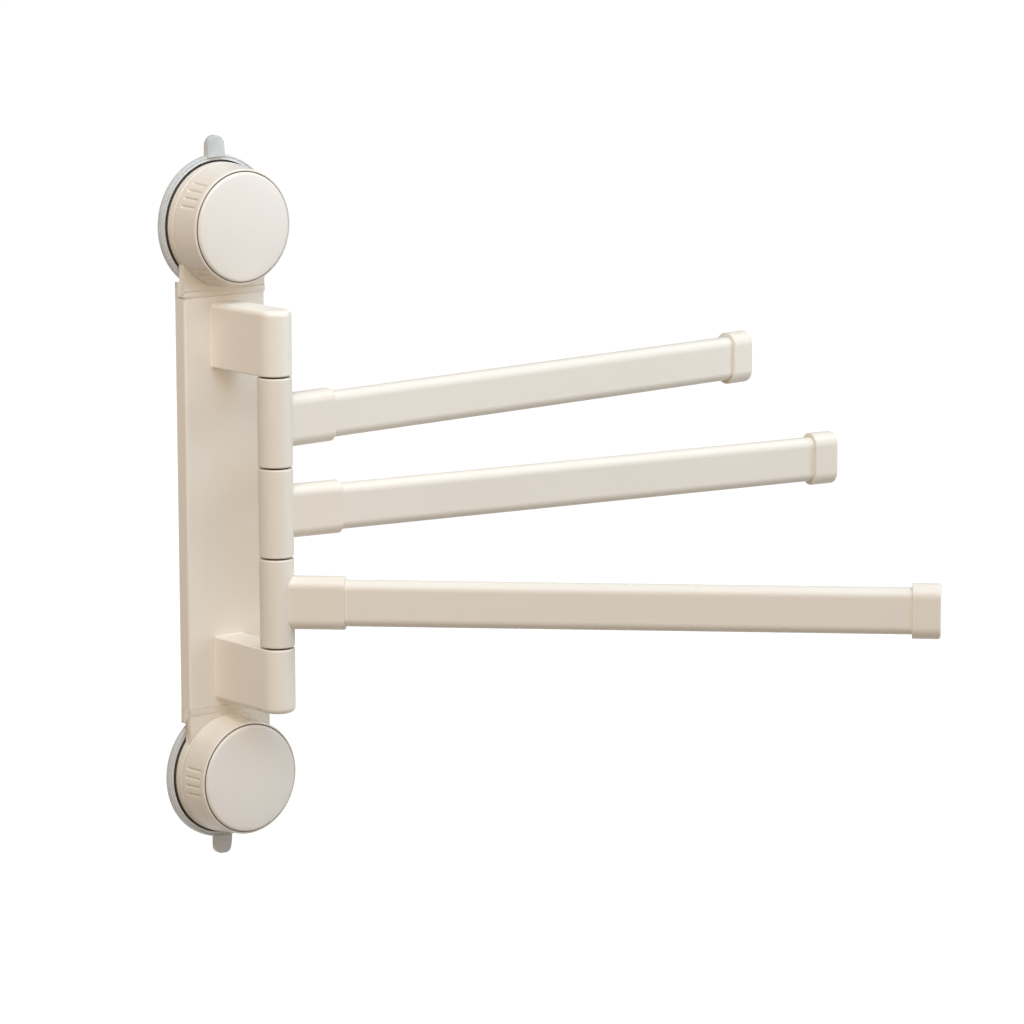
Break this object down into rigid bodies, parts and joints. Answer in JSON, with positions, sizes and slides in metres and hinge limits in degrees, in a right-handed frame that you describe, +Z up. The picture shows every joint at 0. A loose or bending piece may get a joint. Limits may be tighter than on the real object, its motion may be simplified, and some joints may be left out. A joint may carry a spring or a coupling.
{
  "type": "swing arm towel bar",
  "caption": "Towel bar for a smooth wall: flat bars of oval tube swing side to side on an upright pin between two brackets of a narrow back plate held by a locking suction cup at each end.",
  "frame": {"origin": "on the wall plane, midway between the centres of the two suction cups", "axes": "+Z up along the back plate and the hinge pin, +X along the wall to the right as seen from the room, +Y into the wall, so the arms stand out towards -Y"},
  "size_m": [0.3659, 0.283, 0.3707],
  "materials": {
    "beige_plastic": "satin champagne beige moulding",
    "bar_metal": "oval tube, coated in the same champagne beige",
    "cup_rubber": "clear soft plastic, slightly milky",
    "nylon": "natural nylon",
    "acetal": "dark acetal",
    "steel": "plain stainless",
    "brass": "machined"
  },
  "bodies": {
    "wall_frame": {"back_plate": "beige_plastic", "pivot_pin": "steel", "pin_plug": "beige_plastic", "friction_washers": "acetal", "housing_screws": "steel", "upper_suction_cup": "cup_rubber", "upper_cup_housing": "beige_plastic", "lower_suction_cup": "cup_rubber", "lower_cup_housing": "beige_plastic"},
    "top_arm": {"top_arm_hub": "beige_plastic", "top_arm_bushes": "nylon", "top_arm_bar": "bar_metal", "top_arm_end_cap": "beige_plastic"},
    "middle_arm": {"middle_arm_hub": "beige_plastic", "middle_arm_bushes": "nylon", "middle_arm_bar": "bar_metal", "middle_arm_end_cap": "beige_plastic"},
    "bottom_arm": {"bottom_arm_hub": "beige_plastic", "bottom_arm_bushes": "nylon", "bottom_arm_bar": "bar_metal", "bottom_arm_end_cap": "beige_plastic"},
    "upper_knob": {"upper_knob_ring": "beige_plastic", "upper_knob_disc": "beige_plastic", "upper_draw_nut": "brass"},
    "upper_stud": {"upper_draw_stud": "steel"},
    "lower_knob": {"lower_knob_ring": "beige_plastic", "lower_knob_disc": "beige_plastic", "lower_draw_nut": "brass"},
    "lower_stud": {"lower_draw_stud": "steel"}
  },
  "joints": [
    {"name": "top_arm_swing", "type": "hinge", "parent": "wall_frame", "child": "top_arm", "pos_m": [0, -0.0505, 0.0458], "axis": [0, 0, 1], "range_deg": [-190.1, 1.9]},
    {"name": "middle_arm_swing", "type": "hinge", "parent": "wall_frame", "child": "middle_arm", "pos_m": [0, -0.0505, 0], "axis": [0, 0, 1], "range_deg": [-177.2, 14.8]},
    {"name": "bottom_arm_swing", "type": "hinge", "parent": "wall_frame", "child": "bottom_arm", "pos_m": [0, -0.0505, -0.0458], "axis": [0, 0, 1], "range_deg": [-142.6, 49.4]},
    {"name": "upper_knob_turn", "type": "hinge", "parent": "wall_frame", "child": "upper_knob", "pos_m": [0, -0.02, 0.141], "axis": [0, -1, 0], "range_deg": [0, 120]},
    {"name": "upper_stud_draw", "type": "slide", "parent": "wall_frame", "child": "upper_stud", "axis": [0, 1, 0], "range_m": [0, 0.0025], "deforming": ["upper_suction_cup"]},
    {"name": "lower_knob_turn", "type": "hinge", "parent": "wall_frame", "child": "lower_knob", "pos_m": [0, -0.02, -0.141], "axis": [0, -1, 0], "range_deg": [0, 120]},
    {"name": "lower_stud_draw", "type": "slide", "parent": "wall_frame", "child": "lower_stud", "axis": [0, 1, 0], "range_m": [0, 0.0025], "deforming": ["lower_suction_cup"]}
  ],
  "couplings": [
    {"joint": "upper_stud_draw", "follows": "upper_knob_turn", "m_per_rad": 0.00119},
    {"joint": "lower_stud_draw", "follows": "lower_knob_turn", "m_per_rad": 0.00119}
  ]
}
